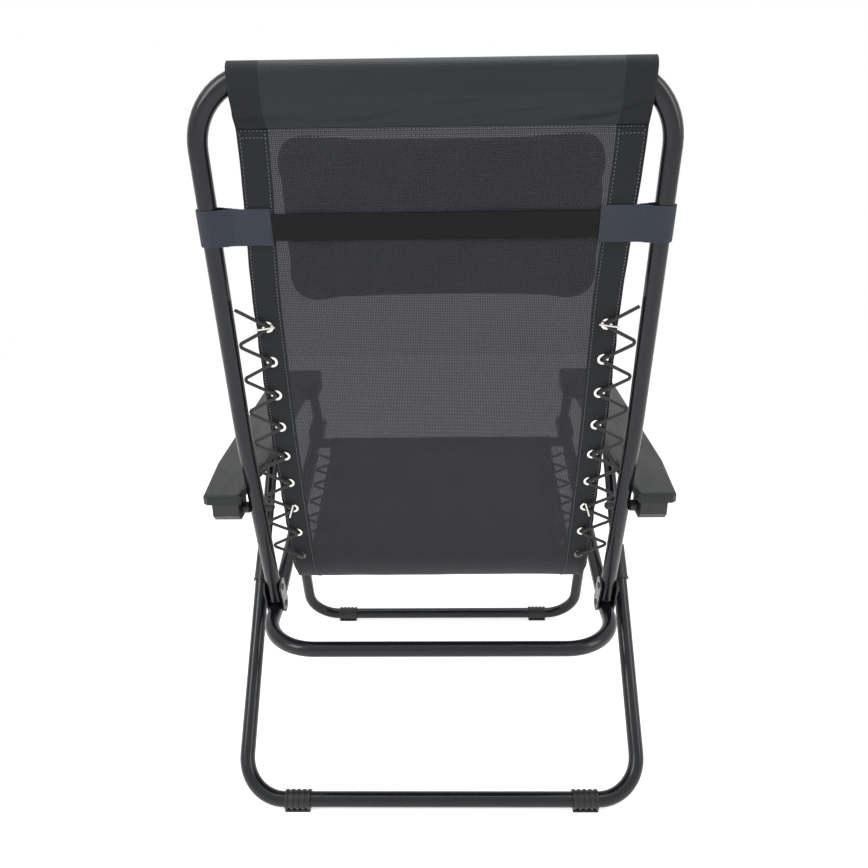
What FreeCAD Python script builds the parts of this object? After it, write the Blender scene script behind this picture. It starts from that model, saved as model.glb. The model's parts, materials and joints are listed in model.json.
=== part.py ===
"""Folding camp rocking chair: an A-frame of two U legs under the armrests carries a laced
fabric seat and back that swing on a four-bar linkage.

X runs across the chair, -Y is its front, +Z is up, and the origin is on the floor under the
middle of the chair.  Lengths are millimetres.
"""
import FreeCAD
import Part
import math
import os
import re

import Sketcher
from FreeCAD import Placement, Rotation, Vector

# ---------------------------------------------------------------- driving dimensions
SIZES = [
    # tubes
    ("tube_od", 22.0, "main frame tube, outside diameter"),
    ("tube_wall", 1.2, "wall of every tube"),
    ("thin_od", 19.0, "telescoping and link tube, outside diameter"),
    ("leg_spacing", 584.0, "between the axes of the leg tubes"),
    ("frame_spacing", 517.0, "between the axes of the seat and back tubes"),
    ("leg_bend", 62.0, "bend radius of the ground bars"),
    ("frame_bend", 76.0, "bend radius of the seat and back frames"),
    # base
    ("bar_lift", 14.0, "axis of the ground bars above the floor"),
    ("front_bar_y", -344.0, "front ground bar"),
    ("rear_bar_y", 245.0, "rear ground bar"),
    ("front_pivot_y", -140.0, "front leg pivot"),
    ("front_pivot_z", 495.0, "front leg pivot"),
    ("rear_pivot_y", -85.0, "rear leg pivot"),
    ("rear_pivot_z", 488.0, "rear leg pivot"),
    ("leg_over", 11.5, "leg tube beyond its pivot"),
    ("sleeve_at", 323.0, "collar's mouth, along the rear leg from the ground bar"),
    ("sleeve_long", 57.0, "length of the collar"),
    ("sleeve_lip", 3.0, "height of the lip at the collar's mouth"),
    ("splice_long", 60.0, "thin tube inside the rear leg tube"),
    ("foot_at", 211.0, "middle of a foot clip from the centre plane"),
    ("foot_long", 37.0, "length of a foot clip"),
    ("foot_ribs", 5.0, "ribs on a foot clip"),
    # upper frame, in the side view
    ("hinge_z", 296.0, "pivot between back and seat"),
    ("back_kink_y", 227.0, "where the back tubes bend"),
    ("back_kink_z", 560.0, "where the back tubes bend"),
    ("back_top_y", 346.5, "top bar"),
    ("back_top_z", 979.0, "top bar"),
    ("back_low_slope", 0.403, "rearward run for each mm of rise, below the bend"),
    ("back_tail", 22.0, "back tube beyond its hinge"),
    ("rail_kink_y", 115.0, "where the seat rails bend"),
    ("rail_kink_z", 255.0, "where the seat rails bend"),
    ("seat_rear_y", 212.0, "rear bar of the seat"),
    ("seat_rear_z", 240.0, "rear bar of the seat"),
    ("rail_slope", 0.4208, "rise of the seat rails for each mm forward"),
    ("rail_front_y", -326.0, "front end of the seat rails"),
    ("front_bar_back", 44.0, "seat front bar behind the rail's end"),
    ("link_low_y", -350.0, "lower pivot of the front links"),
    ("link_top_y", -282.0, "upper pivot of the front links"),
    ("link_top_z", 545.0, "upper pivot of the front links"),
    ("arm_pivot_z", 447.0, "pivot of the back on the armrests"),
    # joints
    ("pin_d", 6.0, "rivets and pins"),
    ("bolt_d", 8.0, "armrest pivot bolt"),
    ("running_gap", 0.05, "radial clearance of a pin that turns"),
    ("link_over", 8.0, "link tube beyond its pivots"),
    ("link_play", 2.0, "radial play of the lower link pin"),
    ("side_gap", 0.3, "between a tube and the plate beside it"),
    ("plate", 2.5, "bracket plate thickness"),
    ("ear_r", 12.0, "radius of a bracket ear"),
    ("head_r", 5.5, "radius of a rivet head"),
    ("head_h", 2.2, "height of a rivet head"),
    # armrests
    ("arm_outer", 334.0, "outer edge from the centre plane"),
    ("arm_tail", 325.0, "outer edge at the rear end"),
    ("arm_inner", 264.0, "inner edge from the centre plane"),
    ("arm_notch", 273.0, "inner edge beside the back tube"),
    ("arm_nose", 243.0, "inner edge of the front end"),
    ("arm_long", 548.0, "length along the slope"),
    ("arm_rear_high", 14.0, "height of the moulding at its rear end"),
    ("arm_front_high", 37.5, "height of the moulding at its front end"),
    ("arm_wall", 3.5, "wall of the moulding"),
    ("arm_round", 4.5, "rounding of the top edge"),
    ("arm_rear_y", 217.0, "lower rear edge"),
    ("arm_rear_z", 462.0, "lower rear edge"),
    ("arm_tilt", 7.46, "slope of the underside in degrees, rising to the front"),
    ("nose_long", 75.0, "length of the wide front end"),
    ("slot_ahead", 37.0, "link slot in front of the link's pivot"),
    ("slot_behind", 14.0, "link slot behind the link's pivot"),
    ("slot_above", 13.3, "link slot above the link's pivot"),
    ("pin_reach", 290.0, "outer end of the link's upper pin"),
    ("block_inner", 280.0, "inner face of the rear bearing block"),
    ("block_outer", 317.0, "outer face of the rear bearing block"),
    ("block_half", 21.0, "half length of the bearing block"),
    ("block_drop", 13.0, "bearing block below its bolt"),
    ("spacer_r", 8.0, "radius of the pivot spacer"),
    ("cap_r", 6.5, "radius of the pivot cap"),
    ("cap_long", 12.0, "length of the pivot cap"),
    # soft parts
    ("cloth", 2.0, "thickness of the sling"),
    ("sling_wide", 444.0, "width of the sling"),
    ("sleeve_r", 11.6, "inside radius of the top sleeve"),
    ("sleeve_drop", 53.0, "depth of the top sleeve"),
    ("sleeve_side", 20.0, "height of the sleeve's straight sides below the top bar"),
    ("fold_r", 110.0, "radius of the fold between back and seat"),
    ("back_curve", 500.0, "radius of the sling at the bend of the back"),
    ("fold_gap", 2.5, "half the gap between back sling and seat sling"),
    ("front_wrap", 10.0, "inside radius of the wrap round the front bar"),
    ("pillow_wide", 370.0, "headrest width"),
    ("pillow_high", 186.0, "headrest height"),
    ("pillow_thick", 60.0, "headrest thickness"),
    ("pillow_round", 28.0, "rounding of the headrest's edges"),
    ("pillow_corner", 45.0, "rounding of the headrest's outline"),
    ("pillow_drop", 56.0, "headrest top below the top bar, along the back"),
    ("soft_gap", 0.3, "between the sling and what lies on it"),
    ("strap_high", 31.0, "width of the headrest strap"),
    ("strap_thick", 1.6, "thickness of the headrest strap"),
    ("strap_drop", 158.0, "strap's middle below the top bar, along the back"),
    ("strap_half", "=pillow_wide / 2 + 2", "inner end of a strap tab from the centre plane"),
    ("tab_high", 42.0, "width of a strap tab"),
    ("tab_thick", 2.2, "thickness of a strap tab"),
    ("tab_neck", 30.0, "where a tab closes, inside the tube's axis"),
    # lacing
    ("eye_edge", 15.0, "eyelet centre inside the sling's edge"),
    ("eye_r", 7.0, "outside radius of an eyelet"),
    ("eye_hole", 3.9, "hole of an eyelet"),
    ("eye_thick", 1.4, "height of an eyelet"),
    ("eye_pitch", 46.5, "between eyelets"),
    ("eye_first", 279.0, "first eyelet below the top bar, along the back"),
    ("back_eyes", 9.0, "eyelets on each side of the back"),
    ("seat_eyes", 6.0, "eyelets on each side of the seat"),
    ("seat_eye_first", 28.0, "first eyelet of the seat behind the front wrap"),
    ("cord_d", 4.4, "elastic cord"),
    ("loop_d", 2.2, "thin cord along the tubes"),
    ("cord_gap", 0.15, "between the cords and what they pass"),
    ("cord_turn", 4.0, "radius of the cord's turns"),
    ("wrap_drop", 34.0, "depth of the front wrap"),
    ("toggle_d", 2.6, "toggle pin"),
    ("toggle_long", 25.0, "toggle pin"),
]

doc = FreeCAD.newDocument("camp_chair")
sheet = doc.addObject("Spreadsheet::Sheet", "Sizes")
for row, (alias, number, note) in enumerate(SIZES, start=1):
    sheet.set(f"A{row}", alias)
    sheet.set(f"B{row}", str(number))
    sheet.setAlias(f"B{row}", alias)
    sheet.set(f"C{row}", note)
doc.recompute()

NAMES = re.compile(r"\b(" + "|".join(alias for alias, _, _ in SIZES) + r")\b")
LEFT, RIGHT = 1, -1
SPARE_CELL = "E1"
SIDES = (("left", LEFT), ("right", RIGHT))


def bound(text):
    """The expression text with every size name pointing into the spreadsheet."""
    return NAMES.sub(r"Sizes.\1", text)


def value(text):
    """The present number of an expression, worked out in a spare cell of the sheet."""
    sheet.set(SPARE_CELL, f"={text}")
    sheet.recompute()
    return float(sheet.get(SPARE_CELL))


class Numbers:
    """The spreadsheet's cells as attributes, for shapes that are made in Python."""

    def __getattr__(self, alias):
        return float(sheet.get(alias))


size = Numbers()
parts = {}


def keep(label, thing):
    """Register an object as the sub-part that carries this label."""
    thing.Label = label
    parts[label] = thing
    return thing


# ---------------------------------------------------------------- sketch helpers
def origin_plane(body, role):
    return next(item for item in body.Origin.OriginFeatures if item.Role == role)


def new_sketch(body, role, name, shift=None):
    sketch = body.newObject("Sketcher::SketchObject", name)
    sketch.AttachmentSupport = [(origin_plane(body, role), "")]
    sketch.MapMode = "FlatFace"
    if shift is not None:
        sketch.AttachmentOffset = shift
    return sketch


def pin_point(sketch, item, vertex, x, y):
    """Fix one vertex at the place that two expressions give."""
    for kind, axis, text in (("DistanceX", -2, x), ("DistanceY", -1, y)):
        if text == "0":
            sketch.addConstraint(Sketcher.Constraint("PointOnObject", item, vertex, axis))
            continue
        index = sketch.addConstraint(
            Sketcher.Constraint(kind, -1, 1, item, vertex, value(text)))
        sketch.setExpression(f"Constraints[{index}]", bound(text))


def polygon(body, role, name, corners, shift=None):
    """A closed outline whose corners are pairs of expressions."""
    sketch = new_sketch(body, role, name, shift)
    places = [Vector(value(x), value(y), 0) for x, y in corners]
    count = len(places)
    for i in range(count):
        sketch.addGeometry(Part.LineSegment(places[i], places[(i + 1) % count]), False)
    for i in range(count):
        sketch.addConstraint(Sketcher.Constraint("Coincident", i, 2, (i + 1) % count, 1))
    for i, (x, y) in enumerate(corners):
        pin_point(sketch, i, 1, x, y)
    return sketch


def circles(body, role, name, centre, radii, shift=None):
    """Concentric circles; centre and radii are expressions."""
    sketch = new_sketch(body, role, name, shift)
    middle = Vector(value(centre[0]), value(centre[1]), 0)
    for i, radius in enumerate(radii):
        sketch.addGeometry(Part.Circle(middle, Vector(0, 0, 1), value(radius)), False)
        index = sketch.addConstraint(Sketcher.Constraint("Radius", i, value(radius)))
        sketch.setExpression(f"Constraints[{index}]", bound(radius))
        pin_point(sketch, i, 3, *centre)
    return sketch


def u_path(body, name, spacing, height, bend):
    """The axis of a U tube, open at the top, standing on the local X axis."""
    sketch = new_sketch(body, "XZ_Plane", name)
    half, top, r = value(spacing) / 2, value(height), value(bend)
    turn = Vector(0, 0, 1)
    corners = [(-half, 180), (half, 270)]
    sketch.addGeometry(Part.LineSegment(Vector(-half, top, 0), Vector(-half, r, 0)), False)
    for x, start in corners:
        centre = Vector(x + (r if x < 0 else -r), r, 0)
        arc = Part.ArcOfCircle(Part.Circle(centre, turn, r),
                               math.radians(start), math.radians(start + 90))
        sketch.addGeometry(arc, False)
        if x < 0:
            sketch.addGeometry(
                Part.LineSegment(Vector(-half + r, 0, 0), Vector(half - r, 0, 0)), False)
    sketch.addGeometry(Part.LineSegment(Vector(half, r, 0), Vector(half, top, 0)), False)
    left, arc_a, bar, arc_b, right = range(5)
    for first, end, second, start in ((left, 2, arc_a, 1), (arc_a, 2, bar, 1),
                                      (bar, 2, arc_b, 1), (arc_b, 2, right, 1)):
        sketch.addConstraint(Sketcher.Constraint("Tangent", first, end, second, start))
    sketch.addConstraint(Sketcher.Constraint("Vertical", left))
    sketch.addConstraint(Sketcher.Constraint("Vertical", right))
    sketch.addConstraint(Sketcher.Constraint("PointOnObject", bar, 1, -1))
    index = sketch.addConstraint(Sketcher.Constraint("Radius", arc_a, r))
    sketch.setExpression(f"Constraints[{index}]", bound(bend))
    sketch.addConstraint(Sketcher.Constraint("Equal", arc_a, arc_b))
    pin_point(sketch, left, 1, f"-({spacing}) / 2", height)
    pin_point(sketch, right, 2, f"({spacing}) / 2", height)
    return sketch


# ---------------------------------------------------------------- feature helpers
def new_body():
    return doc.addObject("PartDesign::Body", "Body")


def pad(body, sketch, length, midplane=True, back=False):
    feature = body.newObject("PartDesign::Pad", "Pad")
    feature.Profile = sketch
    feature.setExpression("Length", bound(length))
    feature.Midplane = midplane
    feature.Reversed = back
    return feature


def cut_through(body, sketch):
    """Pocket through everything, on both sides of the sketch."""
    feature = body.newObject("PartDesign::Pocket", "Pocket")
    feature.Profile = sketch
    feature.Type = "ThroughAll"
    feature.Midplane = True
    return feature


def cut_depth(body, sketch, depth, back=False):
    feature = body.newObject("PartDesign::Pocket", "Pocket")
    feature.Profile = sketch
    feature.setExpression("Length", bound(depth))
    feature.Reversed = back
    return feature


def round_edges(body, base, radius, wanted):
    """Fillet the edges of a feature that the test picks."""
    doc.recompute()
    names = [f"Edge{i}" for i, edge in enumerate(base.Shape.Edges, start=1) if wanted(edge)]
    feature = body.newObject("PartDesign::Fillet", "Fillet")
    feature.Base = (base, names)
    feature.setExpression("Radius", bound(radius))
    return feature


def turned(outline):
    """A body turned about its local X axis; the outline holds (x, radius) expressions."""
    body = new_body()
    sketch = polygon(body, "XY_Plane", "Outline", outline)
    turn = body.newObject("PartDesign::Revolution", "Turned")
    turn.Profile = sketch
    turn.ReferenceAxis = (sketch, ["H_Axis"])
    turn.Angle = 360
    return body


def rivet(grip, shank="pin_d / 2"):
    """A rivet along local X with a low dome at each end of its grip."""
    half = f"({grip}) / 2"
    return turned([
        (f"-{half} - head_h", "0"), (f"-{half} - head_h", "head_r * 0.5"),
        (f"-{half} - head_h * 0.6", "head_r * 0.85"), (f"-{half}", "head_r"),
        (f"-{half}", shank), (half, shank), (half, "head_r"),
        (f"{half} + head_h * 0.6", "head_r * 0.85"), (f"{half} + head_h", "head_r * 0.5"),
        (f"{half} + head_h", "0")])


def ring(outer, inner, length):
    """A plain bush about local X, centred."""
    return turned([(f"-({length}) / 2", inner), (f"-({length}) / 2", outer),
                   (f"({length}) / 2", outer), (f"({length}) / 2", inner)])


def lean(run, rise):
    """The turn about X that takes local Z to the direction (y = run, z = rise)."""
    return Rotation(Vector(1, 0, 0), math.degrees(math.atan2(-run, rise)))


def along(start, towards):
    """A placement whose local X points from one place to another."""
    return Placement(start, Rotation(Vector(1, 0, 0), towards - start))


def wire_of(corners, radii):
    """A path of straight runs whose corners are rounded by tangent arcs."""
    edges = []
    here = corners[0]
    for i in range(1, len(corners) - 1):
        corner, radius = corners[i], radii[i - 1]
        back = (corners[i - 1] - corner).normalize()
        onward = (corners[i + 1] - corner).normalize()
        half = back.getAngle(onward) / 2
        reach = radius / math.tan(half)
        first, last = corner + back * reach, corner + onward * reach
        middle = (back + onward).normalize()
        apex = corner + middle * (radius / math.sin(half) - radius)
        if (first - here).Length > 1e-6:
            edges.append(Part.LineSegment(here, first).toShape())
        edges.append(Part.Arc(first, apex, last).toShape())
        here = last
    if (corners[-1] - here).Length > 1e-6:
        edges.append(Part.LineSegment(here, corners[-1]).toShape())
    return Part.Wire(edges)


def swept(path, radius):
    """A round bar of this radius along the path."""
    edge = path.OrderedEdges[0]
    start = edge.valueAt(edge.FirstParameter)
    heading = edge.tangentAt(edge.FirstParameter)
    section = Part.Wire([Part.makeCircle(radius, start, heading)])
    return path.makePipeShell([section], True, False)


def bent_tube(path, outer, wall):
    return swept(path, outer).cut(swept(path, outer - wall))


def feature_of(label, shape):
    thing = doc.addObject("Part::Feature", "Solid")
    thing.Shape = shape
    return keep(label, thing)


def group_of(label, members):
    """One sub-part made of several separate solids."""
    doc.recompute()
    return feature_of(label, Part.makeCompound([member.Shape for member in members]))


# ---------------------------------------------------------------- places in the side view
HALF_FRAME = size.frame_spacing / 2
HALF_LEG = size.leg_spacing / 2


def back_low_y(z):
    """The back tube's axis below its bend."""
    return size.back_kink_y - (size.back_kink_z - z) * size.back_low_slope


def rail_z(y):
    """The seat rail's axis in front of its bend."""
    return size.rail_kink_z + (size.rail_kink_y - y) * size.rail_slope


HINGE = Vector(0, back_low_y(size.hinge_z), size.hinge_z)
ARM_PIVOT = Vector(0, back_low_y(size.arm_pivot_z), size.arm_pivot_z)
LINK_LOW = Vector(0, size.link_low_y, rail_z(size.link_low_y))
LINK_TOP = Vector(0, size.link_top_y, size.link_top_z)
REAR_PIVOT = Vector(0, size.rear_pivot_y, size.rear_pivot_z)
FRONT_PIVOT = Vector(0, size.front_pivot_y, size.front_pivot_z)
REAR_BAR = Vector(0, size.rear_bar_y, size.bar_lift)
FRONT_BAR = Vector(0, size.front_bar_y, size.bar_lift)
TOP_BAR = Vector(0, size.back_top_y, size.back_top_z)
BACK_KINK = Vector(0, size.back_kink_y, size.back_kink_z)
RAIL_KINK = Vector(0, size.rail_kink_y, size.rail_kink_z)
UP_BACK = (TOP_BAR - BACK_KINK).normalize()
LOW_BACK = (BACK_KINK - HINGE).normalize()
RAIL_AHEAD = (LINK_LOW - RAIL_KINK).normalize()
ARM_TURN = Rotation(Vector(1, 0, 0), -size.arm_tilt)
ARM_SEAT = Vector(0, size.arm_rear_y, size.arm_rear_z)


def across(x):
    return Vector(x, 0, 0)


def arm_local(point):
    """A place in the armrest's own axes: y runs to the rear, z up from its underside."""
    return ARM_TURN.inverted().multVec(point - ARM_SEAT)


# ---------------------------------------------------------------- legs
LEG_TUBE = ("tube_od / 2", "tube_od / 2 - tube_wall")
REAR_LONG = ("sqrt((rear_bar_y - rear_pivot_y)^2 + (rear_pivot_z - bar_lift)^2)")
FRONT_LONG = ("sqrt((front_bar_y - front_pivot_y)^2 + (front_pivot_z - bar_lift)^2)")
LOWER_TOP = "sleeve_at + sleeve_long / 2"


def u_leg(label, height, foot, pivot, bored):
    """A U of tube whose ground bar is the local X axis."""
    body = new_body()
    path = u_path(body, "Axis", "leg_spacing", height, "leg_bend")
    shift = Placement(Vector(0, 0, value(height)), Rotation())
    section = circles(body, "XY_Plane", "Section", ("-leg_spacing / 2", "0"), LEG_TUBE, shift)
    section.setExpression("AttachmentOffset.Base.z", bound(height))
    pipe = body.newObject("PartDesign::AdditivePipe", "Tube")
    pipe.Profile = section
    pipe.Spine = path
    if bored:
        bore = circles(body, "YZ_Plane", "Bore", ("0", f"{height} - leg_over"),
                       ["pin_d / 2 + running_gap"])
        cut_through(body, bore)
    body.Placement = Placement(foot, lean(pivot.y - foot.y, pivot.z - foot.z))
    return keep(label, body)


def rear_upper_tube(label, side):
    """The thin upper tube of a rear leg, pushed into the lower one."""
    body = new_body()
    section = circles(body, "XY_Plane", "Section", ("0", "0"),
                      ["thin_od / 2", "thin_od / 2 - tube_wall"])
    tube = pad(body, section, f"{REAR_LONG} + leg_over - ({LOWER_TOP}) + splice_long",
               midplane=False)
    shift = f"{REAR_LONG} - ({LOWER_TOP}) + splice_long"
    bore = circles(body, "YZ_Plane", "Bore", ("0", shift), ["pin_d / 2 + running_gap"])
    cut_through(body, bore)
    turn = lean(REAR_PIVOT.y - REAR_BAR.y, REAR_PIVOT.z - REAR_BAR.z)
    start = turn.multVec(Vector(0, 0, value(f"{LOWER_TOP} - splice_long")))
    body.Placement = Placement(REAR_BAR + start + across(side * HALF_LEG), turn)
    return keep(label, body)


def rear_collar(label, side):
    """The tapered collar where the rear leg's thin tube leaves the lower tube."""
    outer = "tube_od / 2"
    step = "sleeve_long / 2 + 0.4"
    body = turned([
        ("0", f"{outer} + 0.15"), ("0", f"{outer} + 3.2"), ("sleeve_lip", f"{outer} + 3.2"),
        ("sleeve_lip", f"{outer} + 2.0"), ("sleeve_long - 1.5", f"{outer} + 0.9"),
        ("sleeve_long", f"{outer} - 0.4"), ("sleeve_long", "thin_od / 2 + 0.15"),
        (step, "thin_od / 2 + 0.15"), (step, f"{outer} + 0.15")])
    turn = lean(REAR_PIVOT.y - REAR_BAR.y, REAR_PIVOT.z - REAR_BAR.z)
    low = REAR_BAR + turn.multVec(Vector(0, 0, size.sleeve_at)) + across(side * HALF_LEG)
    high = low + turn.multVec(Vector(0, 0, 1))
    body.Placement = along(low, high)
    return keep(label, body)


def foot_clip(label, bar, side):
    """A ribbed clip round a ground bar with a flat sole."""
    body = new_body()
    section = circles(body, "YZ_Plane", "Section", ("0", "0"),
                      ["bar_lift", "tube_od / 2 + 0.15"])
    barrel = pad(body, section, "foot_long")
    groove_wide = "foot_long / (2 * foot_ribs - 1)"
    first = "-foot_long / 2"
    corners = [(f"{first} + {groove_wide}", "bar_lift - 1.4"),
               (f"{first} + 2 * {groove_wide}", "bar_lift - 1.4"),
               (f"{first} + 2 * {groove_wide}", "bar_lift + 1"),
               (f"{first} + {groove_wide}", "bar_lift + 1")]
    outline = polygon(body, "XY_Plane", "GrooveOutline", corners)
    groove = body.newObject("PartDesign::Groove", "Groove")
    groove.Profile = outline
    groove.ReferenceAxis = (outline, ["H_Axis"])
    groove.Angle = 360
    pattern = body.newObject("PartDesign::LinearPattern", "Grooves")
    pattern.Originals = [groove]
    pattern.Direction = (outline, ["H_Axis"])
    pattern.setExpression("Occurrences", bound("foot_ribs - 1"))
    pattern.setExpression("Length", bound(f"2 * {groove_wide} * (foot_ribs - 2)"))
    body.Tip = pattern
    sole = polygon(body, "YZ_Plane", "Sole",
                   [("-bar_lift * 0.72", "-bar_lift"), ("bar_lift * 0.72", "-bar_lift"),
                    ("bar_lift * 0.62", "-bar_lift + 2.2"),
                    ("-bar_lift * 0.62", "-bar_lift + 2.2")])
    pad(body, sole, "foot_long")
    body.Placement = Placement(bar + across(side * size.foot_at), Rotation())
    return keep(label, body)


def build_legs():
    u_leg("front_leg_frame", f"{FRONT_LONG} + leg_over", FRONT_BAR, FRONT_PIVOT, True)
    u_leg("rear_leg_frame", LOWER_TOP, REAR_BAR, REAR_PIVOT, False)
    for word, side in SIDES:
        rear_upper_tube(f"rear_upper_tube_{word}", side)
        rear_collar(f"rear_collar_{word}", side)
        foot_clip(f"front_foot_{word}", FRONT_BAR, side)
        foot_clip(f"rear_foot_{word}", REAR_BAR, side)


# ---------------------------------------------------------------- armrests and their brackets
def armrest(label, side):
    """A moulded armrest: rounded top, hollow underside, deep nose over the front link."""
    body = new_body()
    notch_end, notch_run, clear_rear = 70, 40, 3.4
    outline = [("arm_notch", "-3"), ("arm_notch + 3", "0"), ("arm_tail - 6", "0"),
               ("arm_tail", "-5"), ("arm_outer", "-arm_long * 0.2"),
               ("arm_outer", "-arm_long + 22"), ("arm_outer - 7", "-arm_long + 6"),
               ("arm_outer - 20", "-arm_long"), ("arm_nose + 6", "-arm_long"),
               ("arm_nose", "-arm_long + 6"), ("arm_nose", "-arm_long + nose_long - 5"),
               ("arm_nose + 4", "-arm_long + nose_long"),
               ("arm_inner - 4", "-arm_long + nose_long + 8"),
               ("arm_inner", "-arm_long + nose_long + 16"),
               ("arm_inner", f"-{notch_end + notch_run}"), ("arm_notch", f"-{notch_end}")]
    plan = polygon(body, "XY_Plane", "Plan", sided(outline, side))
    slab = pad(body, plan, "arm_front_high", midplane=False)
    wedge = polygon(body, "YZ_Plane", "TopLine", [
        ("5", "arm_rear_high - 5 * (arm_front_high - arm_rear_high) / arm_long"),
        ("-arm_long - 5", "arm_front_high + 5 * (arm_front_high - arm_rear_high) / arm_long"),
        ("-arm_long - 5", "arm_front_high + 10"), ("5", "arm_front_high + 10")])
    sloped = cut_through(body, wedge)
    rise = (size.arm_front_high - size.arm_rear_high) / size.arm_long
    rounded = round_edges(body, sloped, "arm_round", lambda edge: all(
        abs(v.Z - size.arm_rear_high + v.Y * rise) < 0.01 for v in edge.Vertexes))
    hollow = [("arm_inner + arm_wall", "-arm_long + nose_long + 20"),
              ("arm_outer - arm_wall", "-arm_long + nose_long + 20"),
              ("arm_outer - arm_wall - 4", f"-block_half * {clear_rear}"),
              ("arm_notch + arm_wall", f"-block_half * {clear_rear}"),
              ("arm_inner + arm_wall", f"-{notch_end + notch_run} - 8")]
    cavity = polygon(body, "XY_Plane", "Cavity", sided(hollow, side))
    cut_depth(body, cavity, "arm_rear_high - arm_wall", back=True)
    pivot = arm_local(LINK_TOP)
    tube_x = "frame_spacing / 2"
    half = "(thin_od / 2 + side_gap)"
    slot = [(f"{tube_x} - {half}", f"{pivot.y} - slot_ahead"),
            (f"{tube_x} + {half}", f"{pivot.y} - slot_ahead"),
            (f"{tube_x} + {half}", f"{pivot.y} + slot_behind"),
            (f"{tube_x} - {half}", f"{pivot.y} + slot_behind")]
    opening = polygon(body, "XY_Plane", "LinkSlot", sided(slot, side))
    cut_depth(body, opening, f"{pivot.z} + slot_above", back=True)
    bore = circles(body, "YZ_Plane", "PinBore", (f"{pivot.y}", f"{pivot.z}"),
                   ["pin_d / 2 + running_gap"])
    cut_depth(body, bore, "pin_reach + 0.5", back=side == LEFT)
    body.Placement = Placement(ARM_SEAT, ARM_TURN)
    return keep(label, body)


def sided(corners, side):
    """An outline of the left side, or its mirror image for the right."""
    if side == LEFT:
        return corners
    return [(f"-({x})", y) for x, y in corners]


def bearing_block(label, side):
    """The block under an armrest's rear end that holds the back's pivot bolt."""
    body = new_body()
    roof = arm_local(ARM_PIVOT).z
    corners = [("-block_half", f"{-roof} - 0.05"), ("-block_half", "-block_drop + 7"),
               ("-block_half + 6", "-block_drop"), ("block_half - 8", "-block_drop"),
               ("block_half", "-block_drop + 9"), ("block_half", f"{-roof} - 0.05")]
    section = polygon(body, "YZ_Plane", "Side", corners)
    block = pad(body, section, "block_outer - block_inner")
    bore = circles(body, "YZ_Plane", "Bore", ("0", "0"), ["bolt_d / 2 + running_gap"])
    cut_through(body, bore)
    middle = side * (size.block_inner + size.block_outer) / 2
    body.Placement = Placement(ARM_PIVOT + across(middle), ARM_TURN)
    return keep(label, body)


def leg_bracket(label, side):
    """A pressed channel inside an armrest that carries both leg pivots."""
    body = new_body()
    rear, front = arm_local(REAR_PIVOT), arm_local(FRONT_PIVOT)
    origin = (REAR_PIVOT + FRONT_PIVOT) / 2
    centre = arm_local(origin)
    ceiling = size.arm_rear_high - size.arm_wall - centre.z
    half = (rear.y - front.y) / 2
    corners = [(f"{-half} - ear_r", f"{ceiling} - 0.05"),
               (f"{-half} - ear_r", f"{front.z - centre.z}"),
               (f"{-half} - ear_r * 0.5", f"{front.z - centre.z} - ear_r * 0.87"),
               (f"{-half} + ear_r * 0.5", f"{front.z - centre.z} - ear_r * 0.87"),
               (f"{half} - ear_r * 0.5", f"{rear.z - centre.z} - ear_r * 0.87"),
               (f"{half} + ear_r * 0.5", f"{rear.z - centre.z} - ear_r * 0.87"),
               (f"{half} + ear_r", f"{rear.z - centre.z}"),
               (f"{half} + ear_r", f"{ceiling} - 0.05")]
    section = polygon(body, "YZ_Plane", "Side", corners)
    pad(body, section, "tube_od + 2 * side_gap + 2 * plate")
    inside = "tube_od / 2 + side_gap"
    channel = polygon(body, "XZ_Plane", "Channel",
                      [(f"-({inside})", f"{rear.z - centre.z} - 2 * ear_r"),
                       (inside, f"{rear.z - centre.z} - 2 * ear_r"),
                       (inside, f"{ceiling} - plate - 0.05"),
                       (f"-({inside})", f"{ceiling} - plate - 0.05")])
    cut_through(body, channel)
    for name, place in (("RearBore", rear), ("FrontBore", front)):
        bore = circles(body, "YZ_Plane", name,
                       (f"{place.y - centre.y}", f"{place.z - centre.z}"),
                       ["pin_d / 2 + running_gap"])
        cut_through(body, bore)
    body.Placement = Placement(origin + across(side * HALF_LEG), ARM_TURN)
    return keep(label, body)


def pivot_bolt(label, side):
    """The bolt from the bearing block through the back tube."""
    tip = "frame_spacing / 2 - tube_od / 2 - 0.6"
    head = "block_outer + 0.05"
    body = turned([
        (tip, "0"), (tip, "bolt_d / 2"), (head, "bolt_d / 2"), (head, "bolt_d * 0.8"),
        (f"{head} + 3", "bolt_d * 0.8"), (f"{head} + 4.5", "bolt_d * 0.5"),
        (f"{head} + 4.5", "0")])
    body.Placement = mirrored(ARM_PIVOT, side)
    return keep(label, body)


def mirrored(place, side):
    """Local X points away from the centre plane on either side."""
    turn = Rotation() if side == LEFT else Rotation(Vector(0, 0, 1), 180)
    return Placement(place, turn)


def pivot_spacer(label, side):
    """The barrel between the bearing block and the back tube."""
    inner, outer = "frame_spacing / 2 + tube_od / 2 + 0.1", "block_inner - 0.05"
    hole = "bolt_d / 2 + running_gap"
    body = turned([(inner, hole), (inner, "spacer_r - 0.8"), (f"{inner} + 0.8", "spacer_r"),
                   (f"{outer} - 0.8", "spacer_r"), (outer, "spacer_r - 0.8"), (outer, hole)])
    body.Placement = mirrored(ARM_PIVOT, side)
    return keep(label, body)


def pivot_cap(label, side):
    """The domed nut on the inner end of the pivot bolt."""
    face = "frame_spacing / 2 - tube_od / 2 - 0.65"
    body = turned([
        (face, "0"), (face, "cap_r"), (f"{face} - cap_long * 0.55", "cap_r"),
        (f"{face} - cap_long * 0.8", "cap_r * 0.85"), (f"{face} - cap_long", "cap_r * 0.45"),
        (f"{face} - cap_long", "0")])
    body.Placement = mirrored(ARM_PIVOT, side)
    return keep(label, body)


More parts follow.
